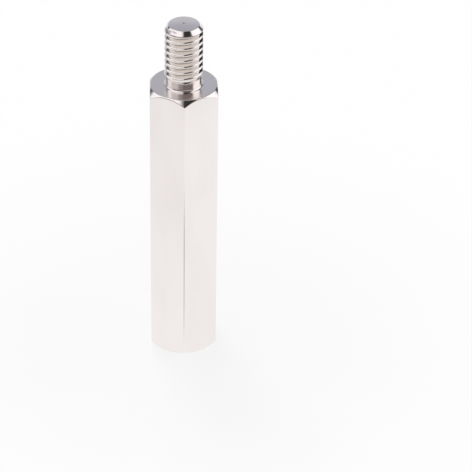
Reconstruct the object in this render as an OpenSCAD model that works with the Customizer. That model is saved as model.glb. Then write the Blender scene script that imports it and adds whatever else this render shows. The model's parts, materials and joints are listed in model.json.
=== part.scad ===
// Hex standoff: a six-sided spacer turned from one length of bar, with a threaded stud at
// the top and a tapped blind hole in the bottom.
//
// Frame: millimetres, +Z up along the axis. The origin is the centre of the bottom end face,
// which holds the mouth of the tapped hole. Two long edges of the bar lie at +Y and -Y, so
// two of its flats face +X and -X.

/* [Body] */
// Width across the flats of the bar
across_flats = 7; // [6.5:0.1:10]
// Length of the six-sided body between its two end faces
body_l = 32; // [20:1:60]
// Radius along the six long edges of the bar
edge_r = 0.15; // [0.05:0.05:0.5]
// Diameter of the flat ring that the chamfer leaves on each end face
end_face_d = 6.9; // [6:0.1:7.2]
// Slope of the end chamfers, measured from the end face
chamfer_angle = 45; // [30:5:60]

/* [Stud] */
// Outside diameter of the thread
thread_d = 4; // [3:0.5:4.5]
// Pitch of the thread, the same on the stud and in the hole
thread_pitch = 0.7; // [0.5:0.05:0.8]
// Length of the stud from the shoulder to its tip
stud_l = 7; // [5:0.5:14]
// How far the plain neck lies inside the thread's outside, measured on the radius
neck_step = 0.16; // [0.16:0.02:0.3]
// Fillet where the plain neck meets the shoulder
neck_fillet_r = 0.25; // [0.25:0.05:0.4]

/* [Tapped hole] */
// Depth of full thread below the bottom end face
tapped_depth = 10; // [6:1:14]
// Included angle of the drill point at the bottom of the hole
drill_point_angle = 118; // [90:2:140]
// Diameter of the countersink at the mouth
mouth_d = 4.6; // [4.6:0.1:5.2]
// Included angle of the countersink
mouth_angle = 90; // [60:10:120]

/* [Hidden] */
$fn = 96;

// A cutter passes this far beyond the face that it opens on.
overrun = 1;

// The hexagon: its corners lie on a circle of this radius before the edges are rounded.
corner_r = across_flats / sqrt(3);
corner_angles = [30:60:330];
// Distance from the axis to the centre of each rounded edge's arc.
edge_centre = corner_r - edge_r / cos(30);

// The turned envelope: both end chamfers run out clear of the corners at this radius.
envelope_r = corner_r + overrun;
chamfer_run = (envelope_r - end_face_d / 2) * tan(chamfer_angle);

// The stud: a plain neck one and a half pitches long, a little smaller than the thread, then
// the thread at its outside diameter, then a chamfer down to the thread's root diameter.
thread_r = thread_d / 2;
neck_r = thread_r - neck_step;
neck_l = 1.5 * thread_pitch;
root_r = thread_r - 0.61343 * thread_pitch;
thread_start = body_l + neck_l;
stud_top = body_l + stud_l;

// The hole: drilled one pitch smaller than the thread, and three pitches deeper.
hole_r = (thread_d - thread_pitch) / 2;
hole_depth = tapped_depth + 3 * thread_pitch;
point_l = hole_r / tan(drill_point_angle / 2);
mouth_r = mouth_d / 2;
mouth_l = (mouth_r - hole_r) / tan(mouth_angle / 2);

// The bar's section: a twelve-sided outline whose short sides are bridged by the arcs of the
// rounded edges, each arc meeting its two flats without a step.
module bar_section() {
    polygon([
        for (corner = corner_angles, side = [-30, 30])
            edge_centre * [cos(corner), sin(corner)]
                + edge_r * [cos(corner + side), sin(corner + side)]
    ]);
    for (corner = corner_angles)
        rotate(corner) translate([edge_centre, 0]) circle(r = edge_r);
}

// What the lathe leaves of the bar: both ends chamfered round the axis.
module turned_envelope() {
    rotate_extrude()
        polygon([
            [0, 0],
            [end_face_d / 2, 0],
            [envelope_r, chamfer_run],
            [envelope_r, body_l - chamfer_run],
            [end_face_d / 2, body_l],
            [0, body_l]
        ]);
}

// The stud, sunk a little into the body so that the two are one solid.
module stud() {
    rotate_extrude() {
        polygon([
            [0, body_l - overrun],
            [neck_r, body_l - overrun],
            [neck_r, thread_start],
            [thread_r, thread_start + neck_step],
            [thread_r, stud_top - (thread_r - root_r)],
            [root_r, stud_top],
            [0, stud_top]
        ]);
        translate([neck_r, body_l])
            difference() {
                square(neck_fillet_r);
                translate([neck_fillet_r, neck_fillet_r]) circle(r = neck_fillet_r);
            }
    }
}

// The tool's path through the bottom end: countersunk mouth, drilled wall, drill point.
module hole() {
    rotate_extrude()
        polygon([
            [0, -overrun],
            [mouth_r, -overrun],
            [mouth_r, 0],
            [hole_r, mouth_l],
            [hole_r, hole_depth],
            [0, hole_depth + point_l]
        ]);
}

module standoff() {
    color([0.80, 0.79, 0.77])
        difference() {
            union() {
                intersection() {
                    linear_extrude(body_l) bar_section();
                    turned_envelope();
                }
                stud();
            }
            hole();
        }
}

standoff();
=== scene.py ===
"""Looks of a nickel-plated hex standoff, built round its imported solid.

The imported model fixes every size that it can. The standoff itself is one closed mesh: its
six-sided bar, threaded stud and tapped hole add bands to one surface, worked out as whole arrays
and welded. Lengths are in metres, with +Z along the axis and the origin in the middle of the
bottom end face. In materials they are in millimetres.
"""

import json
import logging
import math
from dataclasses import dataclass, field
from enum import Enum

import bpy
import numpy as np
from mathutils import Matrix, Vector


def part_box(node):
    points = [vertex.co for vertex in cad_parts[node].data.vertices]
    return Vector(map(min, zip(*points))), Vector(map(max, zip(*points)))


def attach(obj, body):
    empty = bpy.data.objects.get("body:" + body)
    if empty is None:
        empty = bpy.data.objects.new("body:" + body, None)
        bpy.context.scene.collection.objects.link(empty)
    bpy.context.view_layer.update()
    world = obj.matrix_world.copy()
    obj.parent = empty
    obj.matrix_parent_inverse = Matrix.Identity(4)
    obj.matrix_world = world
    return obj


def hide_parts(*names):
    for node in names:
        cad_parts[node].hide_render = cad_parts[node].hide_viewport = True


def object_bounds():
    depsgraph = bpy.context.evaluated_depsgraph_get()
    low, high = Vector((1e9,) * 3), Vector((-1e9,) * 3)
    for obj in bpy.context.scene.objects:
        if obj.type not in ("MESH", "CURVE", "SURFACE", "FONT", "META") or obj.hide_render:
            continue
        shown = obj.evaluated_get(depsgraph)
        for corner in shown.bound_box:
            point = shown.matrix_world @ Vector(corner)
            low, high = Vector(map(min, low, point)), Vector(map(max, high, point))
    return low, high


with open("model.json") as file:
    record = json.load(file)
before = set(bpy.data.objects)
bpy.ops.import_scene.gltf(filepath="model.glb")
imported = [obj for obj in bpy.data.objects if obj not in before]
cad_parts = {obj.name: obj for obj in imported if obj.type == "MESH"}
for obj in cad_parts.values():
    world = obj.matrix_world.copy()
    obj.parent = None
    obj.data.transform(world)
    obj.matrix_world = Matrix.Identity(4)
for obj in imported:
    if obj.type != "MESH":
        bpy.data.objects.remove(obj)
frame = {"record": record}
CAD_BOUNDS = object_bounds()

LOG = logging.getLogger("standoff")
NODE = "standoff"
MM = 0.001
TURN = 2 * math.pi
DEGREES = math.degrees(1)
WHITE = (1.0, 1.0, 1.0)

Colour = tuple[float, float, float]
Socket = bpy.types.NodeSocket


# ---------------------------------------------------------------------------- shader maths


class Value:
    """A number on a node's output socket, used in ordinary Python expressions."""

    def __init__(self, graph: "Graph", socket: Socket) -> None:
        """Wraps one socket.

        Args:
            graph: the node tree that the socket belongs to.
            socket: the output socket that carries the number.
        """
        self.graph = graph
        self.socket = socket

    def _math(self, operation: str, *terms: "Value | float") -> "Value":
        """Adds one Math node.

        Args:
            operation: the node's operation.
            terms: its inputs in order.

        Returns:
            The node's result.
        """
        return self.graph.value("ShaderNodeMath", {"operation": operation}, dict(enumerate(terms)))

    def __add__(self, other: "Value | float") -> "Value":
        """self + other."""
        return self._math("ADD", self, other)

    __radd__ = __add__

    def __sub__(self, other: "Value | float") -> "Value":
        """self - other."""
        return self._math("SUBTRACT", self, other)

    def __rsub__(self, other: "Value | float") -> "Value":
        """other - self."""
        return self._math("SUBTRACT", other, self)

    def __mul__(self, other: "Value | float") -> "Value":
        """self * other."""
        return self._math("MULTIPLY", self, other)

    __rmul__ = __mul__

    def sine(self) -> "Value":
        """The sine of the value."""
        return self._math("SINE", self)

    def root(self) -> "Value":
        """The square root of the value."""
        return self._math("SQRT", self)

    def larger(self, other: "Value | float") -> "Value":
        """The larger of the two values."""
        return self._math("MAXIMUM", self, other)

    def size(self) -> "Value":
        """The value without its sign."""
        return self._math("ABSOLUTE", self)

    def angle(self, along: "Value") -> "Value":
        """The angle in radians whose sine goes with this value and whose cosine with along."""
        return self._math("ARCTAN2", self, along)

    def wrapped(self, low: float, high: float) -> "Value":
        """The value brought between low and high by whole turns of their difference."""
        return self._math("WRAP", self, high, low)

    def ramp(self, low: float, high: float) -> "Value":
        """A smooth step.

        Args:
            low: the value that gives 0.
            high: the value that gives 1; it may be the smaller one.

        Returns:
            0 to 1, eased at both ends.
        """
        settings = {"interpolation_type": "SMOOTHSTEP"}
        limits = (low, high, 0.0, 1.0) if low < high else (high, low, 1.0, 0.0)
        return self.graph.value("ShaderNodeMapRange", settings, dict(enumerate((self, *limits))))


class Graph:
    """A node tree that is written as expressions."""

    def __init__(self, tree: bpy.types.NodeTree) -> None:
        """Empties the tree.

        Args:
            tree: the node tree of a material or a world.
        """
        self.tree = tree
        tree.nodes.clear()

    def node(self, kind: str, settings: dict | None = None, inputs: dict | None = None) -> bpy.types.Node:
        """Adds any node.

        Args:
            kind: the node's type.
            settings: its properties, which are set first.
            inputs: socket name or number to a Value, a socket or a plain value.

        Returns:
            The node.
        """
        made = self.tree.nodes.new(kind)
        for name, setting in (settings or {}).items():
            setattr(made, name, setting)
        for name, given in (inputs or {}).items():
            given = given.socket if isinstance(given, Value) else given
            if isinstance(given, Socket):
                self.tree.links.new(given, made.inputs[name])
            else:
                made.inputs[name].default_value = given
        return made

    def value(self, kind: str, settings: dict, inputs: dict) -> Value:
        """Adds a node and returns its first output as a Value."""
        return Value(self, self.node(kind, settings, inputs).outputs[0])

    def vector(self, operation: str, where: Socket, **inputs: tuple | float) -> Socket:
        """Adds a Vector Math node.

        Args:
            operation: the node's operation.
            where: its first vector.
            inputs: its other inputs, by name; "by" is its second vector.

        Returns:
            The resulting vector's socket.
        """
        given = {1 if name == "by" else name: value for name, value in inputs.items()}
        return self.node("ShaderNodeVectorMath", {"operation": operation}, {0: where, **given}).outputs[0]

    def split(self, where: Socket) -> tuple[Value, Value, Value]:
        """The three coordinates of a vector."""
        parts = self.node("ShaderNodeSeparateXYZ", None, {0: where}).outputs
        return Value(self, parts["X"]), Value(self, parts["Y"]), Value(self, parts["Z"])

    def colour_mix(self, share: Value | float, first: Colour | Socket, second: Colour | Socket) -> Socket:
        """Blends two colours.

        Args:
            share: 0 for the first colour, 1 for the second.
            first: the first colour.
            second: the second colour.

        Returns:
            The blended colour's socket.
        """
        settings = {"data_type": "RGBA"}
        inputs = {0: share, 6: opaque(first), 7: opaque(second)}
        return self.node("ShaderNodeMix", settings, inputs).outputs[2]

    def laid_over(self, tone: Colour | Socket, patches: tuple, azimuth: Value, elevation: Value) -> Socket:
        """Lays patches over a tone, in their order.

        Args:
            tone: the tone under them.
            patches: each a Patch.
            azimuth: the direction's azimuth in degrees.
            elevation: its elevation in degrees.

        Returns:
            The toned colour's socket.
        """
        for patch in patches:
            tone = self.colour_mix(patch.share(azimuth, elevation), tone, patch.tone)
        return tone

    def shader_mix(self, share: Value, first: bpy.types.Node, second: bpy.types.Node) -> bpy.types.Node:
        """Mixes the shaders of two nodes; a share of 0 is the first and 1 the second."""
        inputs = {0: share, 1: first.outputs[0], 2: second.outputs[0]}
        return self.node("ShaderNodeMixShader", None, inputs)

    def position(self) -> Socket:
        """The Object coordinates in millimetres."""
        return self.vector("SCALE", self.node("ShaderNodeTexCoord").outputs["Object"], Scale=1 / MM)

    def noise(self, where: Socket, scale: tuple[float, float, float], detail: float) -> Value:
        """Fractal noise about a half.

        Args:
            where: coordinates in millimetres.
            scale: how many features there are in a millimetre along x, y and z.
            detail: how many finer layers are added.

        Returns:
            The noise, 0 to 1.
        """
        stretched = self.node("ShaderNodeMapping", None, {"Vector": where, "Scale": scale})
        inputs = {"Vector": stretched.outputs[0], "Scale": 1.0, "Detail": detail}
        return self.value("ShaderNodeTexNoise", {}, inputs)


def opaque(colour: Colour | Socket) -> tuple | Socket:
    """A colour of three numbers with an alpha of 1 added; a socket is left as it is."""
    return colour if isinstance(colour, Socket) else (*colour, 1.0)


def radius_of(x: Value, y: Value) -> Value:
    """The distance from the standoff's axis."""
    return (x * x + y * y).root()


# -------------------------------------------------------------------------------- finishes


class Grain(Enum):
    """How the metal was worked before it was plated, which shows in its finest relief."""

    DRAWN = "drawn"
    TURNED = "turned"
    CUT = "cut"
    FACED = "faced"


@dataclass(frozen=True)
class NickelPlate:
    """Bright nickel plate over one kind of worked brass.

    Attributes:
        name: the material's name.
        grain: what the plate follows underneath.
        colour: the plate's own colour.
        stain: the warmer colour that it has in patches.
        shade_and_dirt: the colour of painted shade: at the bottom of a thread's groove, with a little
        dirt, in a thin line below the tip's chamfer and in the centre mark of a faced end.
        roughness: the least roughness of the clean plate.
        haze: how much roughness the dull patches add.
        patchiness: how much of the stain the warmest patches take on.
        relief: the height of the finest relief, in millimetres.
        feed: how far the lathe's tool moved in a turn, in millimetres.
        unshaded_above: the height in millimetres of the foot of the tip's chamfer. Above it a
            thread has no painted shade in its groove, and just below it runs a thin dark line
            of painted shade, as in a narrow groove.
        groove: the radii in millimetres at which the painted shade, with a little dirt, in a
            thread's groove starts and is whole.
        mark: the same for the painted shade in the centre mark of a faced end.
    """

    name: str
    grain: Grain
    colour: Colour = (0.875, 0.838, 0.812)
    stain: Colour = (0.80, 0.745, 0.70)
    # Painted shade, with a little dirt in a thread's groove.
    shade_and_dirt: Colour = (0.16, 0.14, 0.13)
    roughness: float = 0.07
    haze: float = 0.08
    patchiness: float = 0.5
    relief: float = 0.0006
    feed: float = 0.09
    unshaded_above: float = 0.0
    groove: tuple[float, float] = (1.68, 1.58)
    mark: tuple[float, float] = (0.2, 0.08)

    def material(self) -> bpy.types.Material:
        """Builds the material.

        Broad clouds stain and dull the plate. A slow ripple and a fine grain lie over the relief
        of the worked metal.

        Returns:
            A metal whose colour, roughness and relief vary over the surface.
        """
        made = bpy.data.materials.new(self.name)
        made.use_nodes = True
        graph = Graph(made.node_tree)
        where = graph.position()
        cloud = graph.noise(where, (0.35, 0.35, 0.10), 3.0)
        fine = graph.noise(where, (9.0, 9.0, 9.0), 2.0)
        ripple = graph.noise(where, (0.9, 0.9, 0.35), 1.0)
        height = 1.6 * ripple + self.grain_height(graph, where) + 0.25 * fine
        lay = {"Height": height, "Strength": 1.0, "Distance": self.relief * MM}
        plate = graph.colour_mix(self.patchiness * cloud.ramp(0.38, 0.75), self.colour, self.stain)
        look = {
            # The plate is darkened by painted shade in grooves, marks and a line below the tip's chamfer.
            "Base Color": graph.colour_mix(self.shade_and_dirt_share(graph, where), plate, self.shade_and_dirt),
            "Metallic": 1.0,
            "Roughness": self.roughness + self.haze * cloud.ramp(0.35, 0.8) * (0.6 + 0.8 * fine),
            "Normal": graph.node("ShaderNodeBump", None, lay).outputs[0],
        }
        shader = graph.node("ShaderNodeBsdfPrincipled", None, look)
        graph.node("ShaderNodeOutputMaterial", None, {"Surface": shader.outputs[0]})
        return made

    def grain_height(self, graph: Graph, where: Socket) -> Value:
        """The fine relief of the worked metal, about 0 to 1.

        Args:
            graph: the material's nodes.
            where: the position in millimetres.

        Returns:
            Lines along the bar where it was drawn, rings round the axis where it was turned,
            short tears where a die or tap cut it, and rays out from the axis where the tool
            chattered across an end face.
        """
        if self.grain is Grain.DRAWN:
            return graph.noise(where, (16.0, 16.0, 0.12), 2.0)
        if self.grain is Grain.CUT:
            return graph.noise(where, (5.0, 5.0, 26.0), 2.0)
        x, y, _ = graph.split(where)
        if self.grain is Grain.FACED:
            outward = graph.vector("NORMALIZE", graph.vector("MULTIPLY", where, by=(1, 1, 0)))
            return graph.noise(outward, (9.0, 9.0, 0.0), 2.0) * radius_of(x, y)
        rings = (TURN / self.feed * radius_of(x, y)).sine() * 0.5 + 0.5
        return 0.55 * rings + 0.6 * graph.noise(where, (14.0, 14.0, 14.0), 1.0)

    def shade_and_dirt_share(self, graph: Graph, where: Socket) -> Value | float:
        """How much painted shade there is, with a little dirt in a thread's groove.

        Args:
            graph: the material's nodes.
            where: the position in millimetres.

        Returns:
            The share of painted shade on a faced end, where only the centre mark is darkened,
            and on a thread, where it lies at the bottom of the groove, with a little dirt there,
            and in a thin line at the chamfer's foot.
        """
        if self.grain not in (Grain.FACED, Grain.CUT):
            return 0.0
        x, y, z = graph.split(where)
        if self.grain is Grain.FACED:
            # Painted shade in the centre mark.
            return 0.6 * radius_of(x, y).ramp(*self.mark)
        below = z - self.unshaded_above
        # Painted shade, with a little dirt, at the groove's bottom, and a thin line of painted shade just
        # below the chamfer's foot.
        groove = 0.35 * radius_of(x, y).ramp(*self.groove) * below.ramp(0.0, -0.2)
        line = (below + 0.13).size().ramp(0.09, 0.03)
        return groove + 0.6 * line


# --------------------------------------------------------------------------------- surface

Rows = np.ndarray | float


class Slot(Enum):
    """The standoff's material slots, in the mesh's order."""

    FLATS = 0
    TURNED = 1
    THREAD = 2
    FACED = 3


@dataclass
class Skin:
    """A closed surface, collected band by band and then welded.

    Every band has one column for each of the same angles, so where two bands meet their points
    coincide and weld.

    Attributes:
        angles: the columns' angles round the axis, rising through one turn.
        points: the bands' points, each an array of rows, columns and coordinates.
        quads: the bands' faces, as numbers of points.
        slots: the material slot of each face.
        weld: how far apart points may be that count as one.
    """

    angles: np.ndarray
    points: list[np.ndarray] = field(default_factory=list)
    quads: list[np.ndarray] = field(default_factory=list)
    slots: list[np.ndarray] = field(default_factory=list)
    weld: float = 1e-5 * MM

    def add(self, radius: Rows, height: Rows, slot: Slot, turn_rows: int = 0) -> None:
        """Adds a band.

        The point in row m and column i is at (radius cos a, radius sin a, height) for the
        column's angle a. Each face joins rows m and m + 1 of two neighbouring columns. Past the
        last column the band returns to the first, turn_rows rows further on.

        Args:
            radius: distance from the axis, for rows and columns. A column of rows, or one
                number, is the same all round.
            height: height above the bottom face, the same.
            slot: the band's material slot.
            turn_rows: how many rows the band climbs in one turn; 0 for plain rings.
        """
        radius, height, _ = np.broadcast_arrays(radius, height, self.angles)
        grid = np.stack([radius * np.cos(self.angles), radius * np.sin(self.angles), height], axis=-1)
        rows, columns = radius.shape
        start = sum(p.shape[0] for p in self.points)
        row, column = np.meshgrid(np.arange(rows - 1), np.arange(columns), indexing="ij")
        wraps = column == columns - 1
        beyond = np.where(wraps, 0, column + 1)
        across = np.clip(row + wraps * turn_rows, 0, rows - 1)
        across_next = np.clip(row + 1 + wraps * turn_rows, 0, rows - 1)
        corners = [
            row * columns + column,
            (row + 1) * columns + column,
            across_next * columns + beyond,
            across * columns + beyond,
        ]
        self.points.append(grid.reshape(-1, 3))
        self.quads.append(np.stack(corners, axis=-1).reshape(-1, 4) + start)
        self.slots.append(np.full((rows - 1) * columns, slot.value))

    def welded(self) -> tuple[np.ndarray, np.ndarray, np.ndarray, np.ndarray]:
        """Joins points that coincide and drops what that flattens.

        Returns:
            The points, the faces of four corners, the faces of three corners, and the material
            slots of both in that order.
        """
        points = np.concatenate(self.points)
        keys = np.round(points / self.weld).astype(np.int64)
        _, first, number = np.unique(keys, axis=0, return_index=True, return_inverse=True)
        quads = number.reshape(-1)[np.concatenate(self.quads)]
        slots = np.concatenate(self.slots)
        whole = np.all(np.diff(np.sort(quads, axis=1), axis=1) > 0, axis=1)
        broken = quads[~whole]
        halves = np.concatenate([broken[:, [0, 1, 2]], broken[:, [0, 2, 3]]])
        half_slots = np.concatenate([slots[~whole]] * 2)
        kept = np.all(np.diff(np.sort(halves, axis=1), axis=1) > 0, axis=1)
        slots = np.concatenate([slots[whole], half_slots[kept]])
        return points[first], quads[whole], halves[kept], slots

    def mesh(self, name: str) -> bpy.types.Mesh:
        """Writes the welded surface into a mesh, with area-weighted normals.

        Each point's normal is the sum of its faces' cross products, so a wide flat outweighs the
        narrow faces of the rounded edge beside it and stays optically flat.

        Args:
            name: the mesh's name.

        Returns:
            The mesh.
        """
        points, quads, triangles, slots = self.welded()
        mesh = bpy.data.meshes.new(name)
        mesh.from_pydata(points, [], quads.tolist() + triangles.tolist())
        mesh.polygons.foreach_set("material_index", slots.astype(np.int32))
        mesh.polygons.foreach_set("use_smooth", np.ones(len(slots), bool))
        normals = np.zeros_like(points)
        for faces in (quads, triangles):
            corner = points[faces]
            area = np.cross(corner[:, 2] - corner[:, 0], corner[:, -1] - corner[:, 1])
            for k in range(faces.shape[1]):
                np.add.at(normals, faces[:, k], area)
        normals /= np.linalg.norm(normals, axis=1, keepdims=True)
        mesh.normals_split_custom_set_from_vertices(normals)
        mesh.validate()
        mesh.update()
        return mesh


def between(start: Rows, end: Rows, count: int) -> np.ndarray:
    """Rows that go evenly from start to end, one column for each of their columns."""
    share = np.linspace(0.0, 1.0, count)[:, None]
    return np.atleast_1d(start) * (1 - share) + np.atleast_1d(end) * share


def arc(first: float, last: float, count: int) -> np.ndarray:
    """Rows of angles in radians that go evenly from first to last, both in degrees."""
    return np.radians(np.linspace(first, last, count))[:, None]


def smooth_step(x: np.ndarray, low: float, high: float) -> np.ndarray:
    """0 below low, 1 above high and an eased cubic between them."""
    share = np.clip((x - low) / (high - low), 0.0, 1.0)
    return share * share * (3 - 2 * share)


def soft_min(a: Rows, b: Rows, blend: float) -> np.ndarray:
    """The smaller value, rounded by a parabola where the two are within blend of each other."""
    near = np.maximum(blend - np.abs(a - b), 0.0) / blend
    return np.minimum(a, b) - near * near * blend / 4


def soft_max(a: Rows, b: Rows, blend: float) -> np.ndarray:
    """The larger value, rounded in the same way."""
    return -soft_min(-a, -b, blend)


# -------------------------------------------------------------------------------- standoff

THREAD_DEPTH = 0.61343
"""The depth of a metric thread's groove, in pitches."""

HALF_BEND = math.tan(math.radians(22.5))
"""How far an arc of radius 1 between two faces 45 degrees apart reaches from their corner."""


@dataclass
class Thread:
    """A right-hand V thread of 60 degrees.

    Attributes:
        pitch: how far it climbs in a turn.
        outside: its largest radius.
        inside: its smallest radius.
        start: the angle at which its widest point stands at height 0.
        shares: where the profile has a row, as shares of the way from the widest line to the
            groove's bottom.
        crest_soft: how far the widest line's corners are softened.
        root_soft: how far the groove's corners are.
    """

    pitch: float
    outside: float
    inside: float
    start: float
    shares: tuple[float, ...]
    crest_soft: float = 0.12 * MM
    root_soft: float = 0.08 * MM

    def rows(self, angles: np.ndarray, low: float, high: float) -> tuple[np.ndarray, int]:
        """Heights of rows that follow the helix.

        Row m stands at height pitch (a - start) / turn + m's own offset, held between low and
        high, so that the band starts and ends on a level ring.

        Args:
            angles: the columns' angles.
            low: the height of the lowest ring.
            high: the height of the highest ring.

        Returns:
            The heights for rows and columns, and how many rows make one pitch.
        """
        steps = np.array(self.shares) * (self.pitch / 2)
        offsets = np.concatenate([steps, self.pitch - steps[-2:0:-1]])
        first = math.floor(low / self.pitch) - 2
        turns = np.arange(first, math.ceil(high / self.pitch) + 2)
        level = (turns[:, None] * self.pitch + offsets).reshape(-1, 1)
        climb = self.pitch * (angles - angles[0]) / TURN
        lead = self.pitch * ((angles[0] - self.start) / TURN)
        return np.clip(level + climb + lead, low, high), len(offsets)

    def radius(self, angles: np.ndarray, height: np.ndarray) -> np.ndarray:
        """The thread's radius at each angle and height.

        The distance x from the nearest widest line is a triangle wave of the height less the
        helix's climb. The flank falls by the square root of 3 times x, from a flat a quarter of a
        pitch wide, to the smallest radius. Both corners are softened.

        Args:
            angles: the columns' angles.
            height: heights for rows and columns.

        Returns:
            The radius for rows and columns.
        """
        phase = height / self.pitch - (angles - self.start) / TURN
        x = np.abs(phase - np.round(phase)) * self.pitch
        flank = self.outside - (x - self.pitch / 8) * math.sqrt(3)
        crest = soft_min(self.outside, flank, self.crest_soft)
        return soft_max(self.inside, crest, self.root_soft)

    def groove(self, angles: np.ndarray, height: np.ndarray) -> np.ndarray:
        """The height, at the same angle, of the bottom of the groove that a point lies in.

        Args:
            angles: the columns' angles.
            height: heights for rows and columns.

        Returns:
            The groove's height for rows and columns; it steps by a pitch at each crest.
        """
        climb = (angles - self.start) / TURN
        return (np.floor(height / self.pitch - climb) + 0.5 + climb) * self.pitch


@dataclass
class Bar:
    """The six-sided bar, chamfered at both ends.

    Attributes:
        across_flats: width over two opposite flats.
        length: height of the shoulder.
        end_face_r: radius of the flat ring on each end face, up to where the chamfer starts.
        edge_r: radius that tumbling and plating leave on the outer edges.
        flat_columns: columns across one flat.
        edge_columns: columns round one long edge.
    """

    across_flats: float
    length: float
    end_face_r: float = 3.45 * MM
    edge_r: float = 0.15 * MM
    flat_columns: int = 18
    edge_columns: int = 6

    def __post_init__(self) -> None:
        """Works out the section."""
        self.angles, self.rim = self.section()

    def section(self) -> tuple[np.ndarray, np.ndarray]:
        """The bar's section.

        An edge is an arc of edge_r about a point on the corner's own radius. A flat's distance
        from the axis is half the width across flats over the cosine of the angle from the flat's
        middle. Columns are even round each arc and even in angle across each flat.

        Returns:
            The columns' angles through one turn, and the bar's radius at each.
        """
        half = self.across_flats / 2
        centre = (half - self.edge_r) / math.cos(math.radians(30))
        sweep = np.radians(np.linspace(-30, 30, self.edge_columns + 1))
        edge_x = centre + self.edge_r * np.cos(sweep)
        edge_y = self.edge_r * np.sin(sweep)
        edge = np.arctan2(edge_y, edge_x)
        flat = np.linspace(edge[-1], math.radians(60) + edge[0], self.flat_columns + 1)[1:-1]
        one = np.concatenate([edge, flat])
        rim = np.concatenate([np.hypot(edge_x, edge_y), half / np.cos(flat - math.radians(30))])
        corners = np.radians(np.arange(30, 390, 60))
        return (corners[:, None] + one).reshape(-1), np.tile(rim, len(corners))

    def edge_centres(self) -> tuple[np.ndarray, np.ndarray, np.ndarray]:
        """Where a ball of edge_r touches the end face, the chamfer and the side from inside.

        Returns:
            The radius of the ball's centre where it rolls from the end face to the chamfer, and
            its radius and depth below the end face where it rolls from the chamfer to the side.
            Where the chamfer is narrower than the ball's two arcs, both are one place.
        """
        inset = self.edge_r * HALF_BEND
        upper = np.minimum(self.end_face_r - inset, self.rim - self.edge_r)
        depth = np.maximum(self.edge_r, self.rim - self.end_face_r + inset)
        return upper, self.rim - self.edge_r, depth

    def chamfer(self) -> tuple[np.ndarray, np.ndarray]:
        """The rows from an end face over the chamfer to the side.

        An arc turns from the end face's normal to 45 degrees, a straight line crosses the
        chamfer, and a second arc turns on to the side's normal.

        Returns:
            The radius, and the depth below the end face, for rows and columns.
        """
        upper, lower, depth = self.edge_centres()
        first, second = arc(90, 45, 6), arc(45, 0, 6)
        radius = [upper + self.edge_r * np.cos(first), lower + self.edge_r * np.cos(second)]
        drop = [self.edge_r * (1 - np.sin(first)) + 0 * upper, depth - self.edge_r * np.sin(second)]
        radius.insert(1, between(radius[0][-1], radius[1][0], 5)[1:-1])
        drop.insert(1, between(drop[0][-1], drop[1][0], 5)[1:-1])
        return np.concatenate(radius), np.concatenate(drop)

    def build(self, skin: Skin, foot_r: float, mouth_r: float) -> None:
        """Adds the shoulder, both chamfers, the six flats and the bottom face.

        Args:
            skin: the surface to add to.
            foot_r: radius of the stud's foot, where the shoulder starts.
            mouth_r: radius at which the bottom face ends round the hole.
        """
        edge = self.edge_centres()[0]
        radius, drop = self.chamfer()
        side = between(self.length - drop[-1], drop[-1], 17)
        skin.add(between(foot_r, edge, 9), self.length, Slot.FACED)
        skin.add(radius, self.length - drop, Slot.TURNED)
        skin.add(self.rim, side, Slot.FLATS)
        skin.add(radius[::-1], drop[::-1], Slot.TURNED)
        skin.add(between(edge, mouth_r, 7), 0.0, Slot.FACED)


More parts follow.
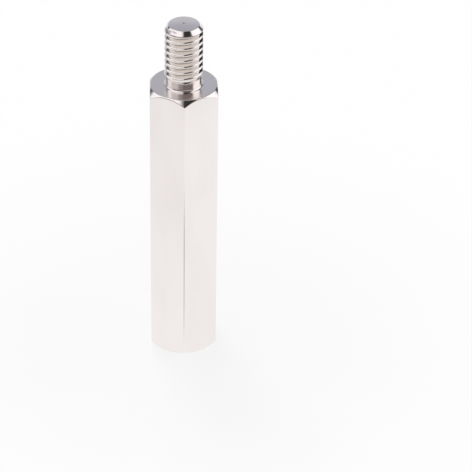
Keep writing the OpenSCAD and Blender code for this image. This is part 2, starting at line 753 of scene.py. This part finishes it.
@dataclass
class Stud:
    """The threaded stud, from its tip down to the fillet at its foot.

    Attributes:
        shoulder: height of the shoulder that it stands on.
        top: height of its tip.
        thread_r: outside radius of the thread.
        pitch: pitch of the thread.
        start: the angle at which the thread's widest line stands at height 0.
        neck_step: how far the plain neck lies inside the thread's outside.
        neck_pitches: the neck's length, in pitches.
        fillet_r: radius of the fillet at the foot of the neck.
        edge_r: radius that tumbling and plating leave on the tip's edge.
        dome: how far the tip's face falls from its middle to its edge.
        mark_depth: depth of the centre mark that the lathe left in the tip.
        mark_r: the mark's radius.
        foot_soft: how far the corner is softened where the neck widens to the thread.
        cut_soft: how far the corner is softened where the groove leaves the plain stud.
    """

    shoulder: float
    top: float
    thread_r: float
    pitch: float
    start: float = math.radians(-29)
    neck_step: float = 0.16 * MM
    neck_pitches: float = 1.5
    fillet_r: float = 0.25 * MM
    edge_r: float = 0.12 * MM
    dome: float = 0.07 * MM
    mark_depth: float = 0.09 * MM
    mark_r: float = 0.14 * MM
    foot_soft: float = 0.04 * MM
    cut_soft: float = 0.03 * MM

    def __post_init__(self) -> None:
        """Works out the sizes that follow from the given ones."""
        self.neck_r = self.thread_r - self.neck_step
        self.root_r = self.thread_r - THREAD_DEPTH * self.pitch
        self.thread_from = self.shoulder + self.neck_pitches * self.pitch
        self.tip_from = self.top - (self.thread_r - self.root_r)
        self.foot_r = self.neck_r + self.fillet_r

    def build(self, skin: Skin) -> None:
        """Adds the stud's bands from its tip to its foot."""
        edge_r, edge_height = self.tip(skin)
        neck_from = self.thread(skin, edge_r, edge_height)
        self.neck(skin, neck_from)

    def tip(self, skin: Skin) -> tuple[float, float]:
        """The stud's end face, from a small centre mark out to its softened edge.

        The face is a shallow dome that falls by the square of the radius. The mark is a dimple
        whose depth eases from its middle to nothing. The edge is an arc that turns from level to
        the chamfer's 45 degrees.

        Args:
            skin: the surface to add to.

        Returns:
            The radius and the height at which the chamfer starts.
        """
        flat_to = self.root_r - self.edge_r * HALF_BEND
        radius = flat_to * np.linspace(0.0, 1.0, 24)[:, None] ** 1.5
        mark = self.mark_depth * (1 - smooth_step(radius, 0.0, self.mark_r))
        face = self.top - self.dome * (radius / flat_to) ** 2 - mark
        skin.add(radius, face, Slot.FACED)
        turn = arc(90, 45, 7)
        radius = flat_to + self.edge_r * np.cos(turn)
        height = self.top - self.dome - self.edge_r * (1 - np.sin(turn))
        skin.add(radius, height, Slot.TURNED)
        return float(radius[-1, 0]), float(height[-1, 0])

    def thread(self, skin: Skin, edge_r: float, edge_height: float) -> float:
        """The stud from its tip chamfer to its neck, as one band along the helix.

        The envelope is the smallest of the thread's outside, the tip chamfer's cone and a cone
        that rises from the neck. The groove is as deep as the thread lies inside the envelope,
        times a share that fades along the groove itself: over its last half turn, where the die
        was backed off, and over the part of a turn that starts it in the chamfer. The band's
        foot stands a fifth of a pitch down the plain neck.

        Args:
            skin: the surface to add to.
            edge_r: the radius at which the tip's chamfer starts.
            edge_height: the height of that place.

        Returns:
            The height at which the plain neck starts.
        """
        shares = (0.0, 0.05, 0.13, 0.21, 0.29, 0.37, 0.45, 0.62, 0.80, 0.90, 1.0)
        thread = Thread(self.pitch, self.thread_r, self.root_r, self.start, shares)
        low = self.thread_from - 0.2 * self.pitch
        height, turn_rows = thread.rows(skin.angles, low, edge_height)
        neck_cone = self.neck_r + np.maximum(height - self.thread_from, 0.0)
        tip_cone = edge_r + (edge_height - height)
        envelope = np.minimum(soft_min(neck_cone, self.thread_r, self.foot_soft), tip_cone)
        groove = thread.groove(skin.angles, height) / self.pitch
        first, last = self.thread_from / self.pitch, self.tip_from / self.pitch
        run_out = smooth_step(groove, first + 0.1, first + 0.6)
        run_in = 1 - smooth_step(groove, last, last + 0.2)
        cut = soft_min(thread.radius(skin.angles, height), envelope, self.cut_soft)
        radius = envelope - (envelope - cut) * run_out * run_in
        skin.add(radius[::-1], height[::-1], Slot.THREAD, -turn_rows)
        return low

    def neck(self, skin: Skin, neck_from: float) -> None:
        """Adds the plain neck, from the given height down, and its fillet."""
        skin.add(self.neck_r, between(neck_from, self.shoulder + self.fillet_r, 4), Slot.TURNED)
        turn = arc(0, 90, 9)
        radius = self.neck_r + self.fillet_r * (1 - np.cos(turn))
        skin.add(radius, self.shoulder + self.fillet_r * (1 - np.sin(turn)), Slot.TURNED)


@dataclass
class Hole:
    """The tapped blind hole in the bottom end.

    Attributes:
        thread_r: outside radius of the thread.
        pitch: pitch of the thread.
        drilled_r: radius that the hole was drilled to.
        depth: depth of the drilled wall.
        start: the angle at which the thread's widest line stands at height 0.
        mouth_r: radius of the countersink at the bottom face.
        edge_r: radius that tumbling and plating leave on the countersink's edge.
        cone_soft: how far the corner is softened where the thread meets the countersink.
        plain_pitches: how much of the wall is left untapped, in pitches.
        point_angle: half the angle of the drill's point, in degrees.
    """

    thread_r: float
    pitch: float
    drilled_r: float
    depth: float
    start: float = math.radians(200)
    mouth_r: float = 2.3 * MM
    edge_r: float = 0.05 * MM
    cone_soft: float = 0.04 * MM
    plain_pitches: float = 3.0
    point_angle: float = 59.0

    def __post_init__(self) -> None:
        """Works out the sizes that follow from the given ones."""
        self.rim_r = self.mouth_r + self.edge_r * HALF_BEND
        self.tapped_depth = self.depth - self.plain_pitches * self.pitch

    def build(self, skin: Skin) -> None:
        """Adds the countersink's edge, the tapped wall, the drilled end and the drill's point."""
        turn = arc(90, 135, 5)
        height = self.edge_r * (1 - np.sin(turn))
        skin.add(self.rim_r + self.edge_r * np.cos(turn), height, Slot.TURNED)
        tapped_to = self.tapped_wall(skin, float(height[-1, 0]))
        skin.add(self.drilled_r, between(tapped_to, self.depth, 3), Slot.TURNED)
        point = between(self.drilled_r, 0.0, 9)
        rise = (self.drilled_r - point) / math.tan(math.radians(self.point_angle))
        skin.add(point, self.depth + rise, Slot.TURNED)

    def tapped_wall(self, skin: Skin, cone_from: float) -> float:
        """The countersink's cone and the thread, as far as the plain wall.

        The tapped wall's radius is the thread's between the drilled radius and the thread's
        outside, held over the countersink's cone. Its groove fades over one pitch at the end.
        The band starts 0.1 mm nearer the mouth than where the cone is as wide as the thread.

        Args:
            skin: the surface to add to.
            cone_from: the height at which the cone starts.

        Returns:
            The height at which the thread ends.
        """
        shares = (0.0, 0.09, 0.16, 0.33, 0.50, 0.65, 0.75, 1.0)
        thread = Thread(self.pitch, self.thread_r, self.drilled_r, self.start, shares)
        low = self.mouth_r - self.thread_r - 0.1 * MM
        high = self.tapped_depth + self.pitch
        down_cone = between(cone_from, low, 3)
        skin.add(self.mouth_r - down_cone, down_cone, Slot.TURNED)
        level, turn_rows = thread.rows(skin.angles, low, high)
        fade = 1 - smooth_step(level, self.tapped_depth, high)
        wall = self.drilled_r + (thread.radius(skin.angles, level) - self.drilled_r) * fade
        held = soft_max(wall, self.mouth_r - level, self.cone_soft)
        wall = np.where(level <= low, self.mouth_r - low, held)
        wall = np.where(level >= high, self.drilled_r, wall)
        skin.add(wall, level, Slot.THREAD, turn_rows)
        return high


@dataclass
class Standoff:
    """The standoff: its bar, stud and tapped hole share one closed surface.

    Attributes:
        bar: the six-sided bar.
        stud: the threaded stud.
        hole: the tapped hole.
    """

    bar: Bar
    stud: Stud
    hole: Hole

    @classmethod
    def from_frame(cls) -> "Standoff":
        """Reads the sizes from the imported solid's box and its mounts.

        The hole was drilled one pitch narrower than its thread, which gives the pitch. The
        wall of its mount starts where the countersink, at 45 degrees, ends.

        Returns:
            The standoff with those sizes.
        """
        low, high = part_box(NODE)
        mounts = {m["name"]: m for m in frame["record"]["mounts"]}
        thread_r = mounts["stud"]["dims"]["r_mm"] * MM
        drilled_r = mounts["tapped_hole"]["dims"]["r_mm"] * MM
        wall = mounts["tapped_hole"]["dims"]["length_mm"] * MM
        shoulder = mounts["shoulder_face"]["pos_m"][2]
        pitch = 2 * (thread_r - drilled_r)
        return cls(
            bar=Bar(high.x - low.x, shoulder),
            stud=Stud(shoulder, high.z, thread_r, pitch),
            hole=Hole(thread_r, pitch, drilled_r, wall + Hole.mouth_r - drilled_r),
        )

    def build(self) -> bpy.types.Object:
        """Makes the whole standoff as one closed piece.

        Returns:
            The piece, dressed and riding on the part's body, with the imported solid hidden.
        """
        skin = Skin(self.bar.angles)
        self.stud.build(skin)
        self.bar.build(skin, self.stud.foot_r, self.hole.rim_r)
        self.hole.build(skin)
        piece = bpy.data.objects.new("standoff_plated", skin.mesh("standoff_plated"))
        bpy.context.scene.collection.objects.link(piece)
        self.dress(piece)
        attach(piece, "root")
        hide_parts(NODE)
        return piece

    def dress(self, piece: bpy.types.Object) -> None:
        """Gives the piece its four finishes, in the order of Slot."""
        foot = self.stud.tip_from / MM
        finishes = (
            NickelPlate("plated_flats", Grain.DRAWN, colour=(0.893, 0.850, 0.840), patchiness=0.22),
            NickelPlate("plated_turned", Grain.TURNED, roughness=0.09, haze=0.10),
            # The thread's painted shade stops at the foot of the tip's chamfer.
            NickelPlate("plated_thread", Grain.CUT, roughness=0.10, haze=0.10, unshaded_above=foot),
            NickelPlate("plated_faced", Grain.FACED, roughness=0.17, haze=0.10, relief=0.0015),
        )
        for finish in finishes:
            piece.data.materials.append(finish.material())


# ---------------------------------------------------------------------------------- studio


@dataclass(frozen=True)
class Patch:
    """A range of directions with one tone: a softbox, a wall, a dark opening, part of the floor.

    Attributes:
        name: what it stands for.
        azimuth: its middle in degrees, from +X towards +Y.
        half_width: how far it reaches to each side.
        low: its lower edge in degrees above the horizon.
        high: its upper edge.
        tone: its radiance, where 1 is white.
        soft: how many degrees its edges take to fade.
        lean: how far its middle moves across for each degree upwards.
    """

    name: str
    azimuth: float
    half_width: float
    low: float
    high: float
    tone: Colour
    soft: float = 8.0
    lean: float = 0.0

    def share(self, azimuth: Value, elevation: Value) -> Value:
        """How much of a direction belongs to the patch, from 0 to 1.

        Args:
            azimuth: the direction's azimuth in degrees.
            elevation: its elevation in degrees.

        Returns:
            The product of two soft steps, one across and one upwards.
        """
        rise = elevation - (self.low + self.high) / 2
        across = (azimuth - self.azimuth - self.lean * rise).wrapped(-180.0, 180.0).size()
        upward = rise.size()
        half_height = (self.high - self.low) / 2
        fade = self.soft / 2
        inside = across.ramp(self.half_width + fade, self.half_width - fade)
        return inside * upward.ramp(half_height + fade, half_height - fade)


# The surround, each patch laid over the ones before it.
SURROUND = (
    Patch("wall_left", 195, 50, -5, 42, (0.76, 0.74, 0.76), 14),
    Patch("wall_back", 95, 46, 8, 52, (0.61, 0.61, 0.68), 12),
    Patch("curtain_back", 95, 40, 28, 44, (0.44, 0.45, 0.52), 8),
    Patch("curtain_top", 95, 40, 42, 60, (0.26, 0.26, 0.29), 8),
    Patch("room_left", 255, 22, -2, 42, (0.33, 0.30, 0.31), 20),
    Patch("skirting_left", 230, 30, -20, 25, (0.12, 0.10, 0.12), 6),
    Patch("reflector_left", 165, 15, 19, 45, (1.10, 1.09, 1.16), 7),
    Patch("opening_front", 297, 36, 8, 100, (0.21, 0.18, 0.17), 7),
    Patch("ceiling", 0, 200, 77, 100, (0.30, 0.27, 0.28), 10),
    Patch("ceiling_right", 15, 52, 71, 100, (0.05, 0.045, 0.045), 8),
    Patch("beam_right", 348, 26, 67, 100, (0.20, 0.18, 0.18), 8),
    Patch("corner_right", 57, 20, 52, 100, (0.14, 0.13, 0.15), 10),
    Patch("doorway_front", 295, 31, 40, 100, (0.03, 0.03, 0.03), 8),
    Patch("post_left", 143, 7, 7, 25, (0.05, 0.05, 0.06), 5),
    Patch("post_right", 39, 8, 4, 24, (0.06, 0.06, 0.06), 5),
    Patch("rail_left", 133, 5, 22, 50, (0.06, 0.06, 0.06), 4, 0.87),
    Patch("rail_right", 47, 9, 13, 52, (0.02, 0.02, 0.02), 4, -0.79),
    Patch("softbox_left", 201, 48, 42, 72, (1.12, 1.10, 1.13), 7),
    Patch("softbox_top", 131, 20, 52, 79, (1.22, 1.20, 1.24), 8),
    Patch("softbox_right", 2, 30, 1, 53, (1.16, 1.13, 1.18), 5),
    Patch("softbox_right_top", 22, 11, 45, 70, (0.75, 0.73, 0.75), 6),
    Patch("lamp_right", 0, 24, 28, 40, (1.32, 1.30, 1.34), 5),
)

# Painted shade on the floor, which only mirror rays see, in darker places by their direction from the
# middle of the stud.
FLOOR_TONES = (
    Patch("shade_left", 148, 9, -26, 10, (0.45, 0.43, 0.44), 8),
    Patch("shade_right", 36, 12, -26, 10, (0.45, 0.43, 0.44), 8),
    Patch("shade_front", 345, 22, -27, 10, (0.86, 0.83, 0.81), 8),
)


def placed(name: str, data: bpy.types.ID) -> bpy.types.Object:
    """A new object in the scene that holds the given data."""
    made = bpy.data.objects.new(name, data)
    bpy.context.scene.collection.objects.link(made)
    return made


def facing(away: Vector) -> Matrix:
    """The turn of a lamp or a camera that looks against the given direction."""
    return (-away).to_track_quat("-Z", "Y").to_matrix().to_4x4()


@dataclass
class Camera:
    """A long lens that looks down on one long edge of the bar.

    It aims at the axis a third of the way up, then turns a little to the right and down, so that
    the standoff stands left of the middle with room on its right.

    Attributes:
        azimuth: its direction from the standoff in degrees, from +X towards +Y.
        elevation: its direction in degrees above the horizon.
        distance: how far it is from what it aims at, in millimetres.
        aim: the height that it aims at, in millimetres.
        lens: its focal length in millimetres, on a sensor 36 mm wide.
        turns: its last turns in degrees about its own Y, X and Z.
    """

    azimuth: float = -91.3
    elevation: float = 33.97
    distance: float = 254.4
    aim: float = 14.0
    lens: float = 181.8
    turns: tuple[float, float, float] = (-1.265, -0.167, 0.151)

    def build(self) -> None:
        """Makes the camera the scene's own."""
        data = bpy.data.cameras.new("camera")
        data.sensor_width = 36.0
        data.lens = self.lens
        data.clip_start, data.clip_end = 0.01, 20.0
        around, above = math.radians(self.azimuth), math.radians(self.elevation)
        level = Vector((math.cos(around), math.sin(around), 0.0))
        away = level * math.cos(above) + Vector((0.0, 0.0, math.sin(above)))
        aim = Vector((0.0, 0.0, self.aim)) * MM
        turned = facing(away)
        for turn, axis in zip(self.turns, "YXZ"):
            turned = turned @ Matrix.Rotation(math.radians(turn), 4, axis)
        made = placed("camera", data)
        made.matrix_world = Matrix.Translation(aim + away * self.distance * MM) @ turned
        bpy.context.scene.camera = made


@dataclass
class Lamp:
    """One soft lamp, high behind the standoff, that gives it a faint shadow in front.

    Attributes:
        target: the point that it looks at.
        place: where it stands, in metres.
        side: the length of its square's side, in metres.
        power: its power in watts.
    """

    target: Vector
    place: tuple[float, float, float] = (-0.25, 0.75, 0.9)
    side: float = 0.5
    power: float = 6.0

    def build(self) -> None:
        """Makes the lamp, which no camera or mirror ray sees."""
        data = bpy.data.lights.new("lamp_back", "AREA")
        data.shape = "SQUARE"
        data.size = self.side
        data.energy = self.power
        made = placed("lamp_back", data)
        stand = Vector(self.place)
        made.matrix_world = Matrix.Translation(stand) @ facing(stand - self.target)
        made.visible_camera = False
        made.visible_glossy = False


@dataclass
class Floor:
    """A pale matt floor that keeps the standoff's soft shadow.

    Attributes:
        stud_middle: the height of the stud's middle, in millimetres.
        half: half the floor's side, in metres.
        matt: its own colour, which takes the shadow.
        left: what mirror rays see of it on the left.
        far: what they see of it well in front.
        front: the painted shadow that they see in a wedge before the bar's front edge, which
        stands for the standoff's own shadow there.
        lifted: how nearly white the camera sees it away from the standoff.
        shadow: how much less than that beside the standoff, so that the shadow shows.
        mirrored: how much of their own tones mirror rays see.
    """

    stud_middle: float
    half: float = 3.0
    matt: Colour = (0.82, 0.81, 0.80)
    left: Colour = (0.955, 0.945, 0.945)
    far: Colour = (0.76, 0.71, 0.68)
    # Painted shadow before the front edge, seen only by mirror rays.
    front: Colour = (0.50, 0.47, 0.45)
    lifted: float = 0.98
    shadow: float = 0.13
    mirrored: float = 0.97

    def build(self) -> None:
        """Makes the floor as one square."""
        half = self.half
        data = bpy.data.meshes.new("floor")
        corners = [(-half, -half, 0), (half, -half, 0), (half, half, 0), (-half, half, 0)]
        data.from_pydata(corners, [], [(0, 1, 2, 3)])
        data.materials.append(self.material())
        placed("floor", data)

    def material(self) -> bpy.types.Material:
        """Builds the floor's material.

        Camera and mirror rays see the floor most of the way lifted to white or to the mirror
        rays' own tones. It is see-through from below, so that the underside can be looked at.

        Returns:
            The material.
        """
        pale = bpy.data.materials.new("floor_pale")
        pale.use_nodes = True
        graph = Graph(pale.node_tree)
        path = graph.node("ShaderNodeLightPath").outputs
        camera = Value(graph, path["Is Camera Ray"])
        mirror = Value(graph, path["Is Glossy Ray"]).larger(Value(graph, path["Is Transmission Ray"]))
        x, y, _ = graph.split(graph.position())
        away = radius_of(x, y)
        tone = graph.colour_mix(camera, self.mirror_tone(graph, x, y, away), WHITE)
        matt = graph.node("ShaderNodeBsdfDiffuse", None, {"Color": opaque(self.matt)})
        white = graph.node("ShaderNodeEmission", None, {"Color": tone, "Strength": 1.0})
        lift = (self.lifted - self.shadow * away.ramp(50.0, 6.0)) * camera + self.mirrored * mirror
        lit = graph.shader_mix(lift, matt, white)
        back = Value(graph, graph.node("ShaderNodeNewGeometry").outputs["Backfacing"])
        both = graph.shader_mix(back, lit, graph.node("ShaderNodeBsdfTransparent"))
        graph.node("ShaderNodeOutputMaterial", None, {"Surface": both.outputs[0]})
        return pale

    def mirror_tone(self, graph: Graph, x: Value, y: Value, away: Value) -> Socket:
        """What mirror rays see of the floor.

        The left comes in over the first 40 mm to the left of the axis, and the far front from 30
        to 110 mm away and 20 to 60 mm in front. The wedge, painted shadow that stands for the
        standoff's own shadow in front of it, opens from about 8 mm in front, by 0.9 mm to each
        side for each further millimetre, and ends 24 to 40 mm away.

        Args:
            graph: the material's nodes.
            x: the place's first coordinate, in millimetres.
            y: the second.
            away: its distance from the axis.

        Returns:
            White, with the left and the far front toned, the painted shadow in the front wedge,
            and the patches of painted shade over them.
        """
        far = away.ramp(30.0, 110.0) * y.ramp(-20.0, -60.0)
        # Painted shadow: a wedge before the bar's front edge, which mirror rays see as the standoff's own
        # shadow.
        wedge = away.ramp(40.0, 24.0) * (x.size() + 0.9 * y).ramp(-4.5, -9.5)
        tone = graph.colour_mix(x.ramp(0.0, -40.0), WHITE, self.left)
        tone = graph.colour_mix(far, tone, self.far)
        tone = graph.colour_mix(wedge, tone, self.front)
        azimuth = y.angle(x) * DEGREES
        elevation = (0.0 * away - self.stud_middle).angle(away) * DEGREES
        return graph.laid_over(tone, FLOOR_TONES, azimuth, elevation)


@dataclass
class Surround:
    """What stands round the standoff, out of sight: a pale horizon with patches over it.

    Attributes:
        horizon: the tone between the patches.
    """

    horizon: Colour = (0.86, 0.85, 0.86)

    def build(self) -> None:
        """Makes the world, which is white to the camera."""
        made = bpy.data.worlds.new("surround")
        made.use_nodes = True
        graph = Graph(made.node_tree)
        x, y, z = graph.split(graph.node("ShaderNodeTexCoord").outputs["Generated"])
        azimuth = y.angle(x) * DEGREES
        elevation = z.angle(radius_of(x, y)) * DEGREES
        tone = graph.laid_over(self.horizon, SURROUND, azimuth, elevation)
        camera = Value(graph, graph.node("ShaderNodeLightPath").outputs["Is Camera Ray"])
        seen = graph.colour_mix(camera, tone, WHITE)
        glow = graph.node("ShaderNodeBackground", None, {"Color": seen, "Strength": 1.0})
        graph.node("ShaderNodeOutputWorld", None, {"Surface": glow.outputs[0]})
        bpy.context.scene.world = made


# ------------------------------------------------------------------------------------ main


def main() -> None:
    """Builds the studio and the standoff."""
    logging.basicConfig(level=logging.INFO, format="%(name)s: %(message)s")
    bpy.context.scene.view_settings.view_transform = "Standard"
    low, high = CAD_BOUNDS
    standoff = Standoff.from_frame()
    stud_middle = (standoff.stud.shoulder + standoff.stud.top) / 2 / MM
    for part in (Camera(), Floor(stud_middle), Surround(), Lamp((low + high) / 2)):
        part.build()
        LOG.info("built %s", part)
    piece = standoff.build()
    mesh = piece.data
    LOG.info("built %s: %d points, %d faces", piece.name, len(mesh.vertices), len(mesh.polygons))


if __name__ == "__main__":
    main()
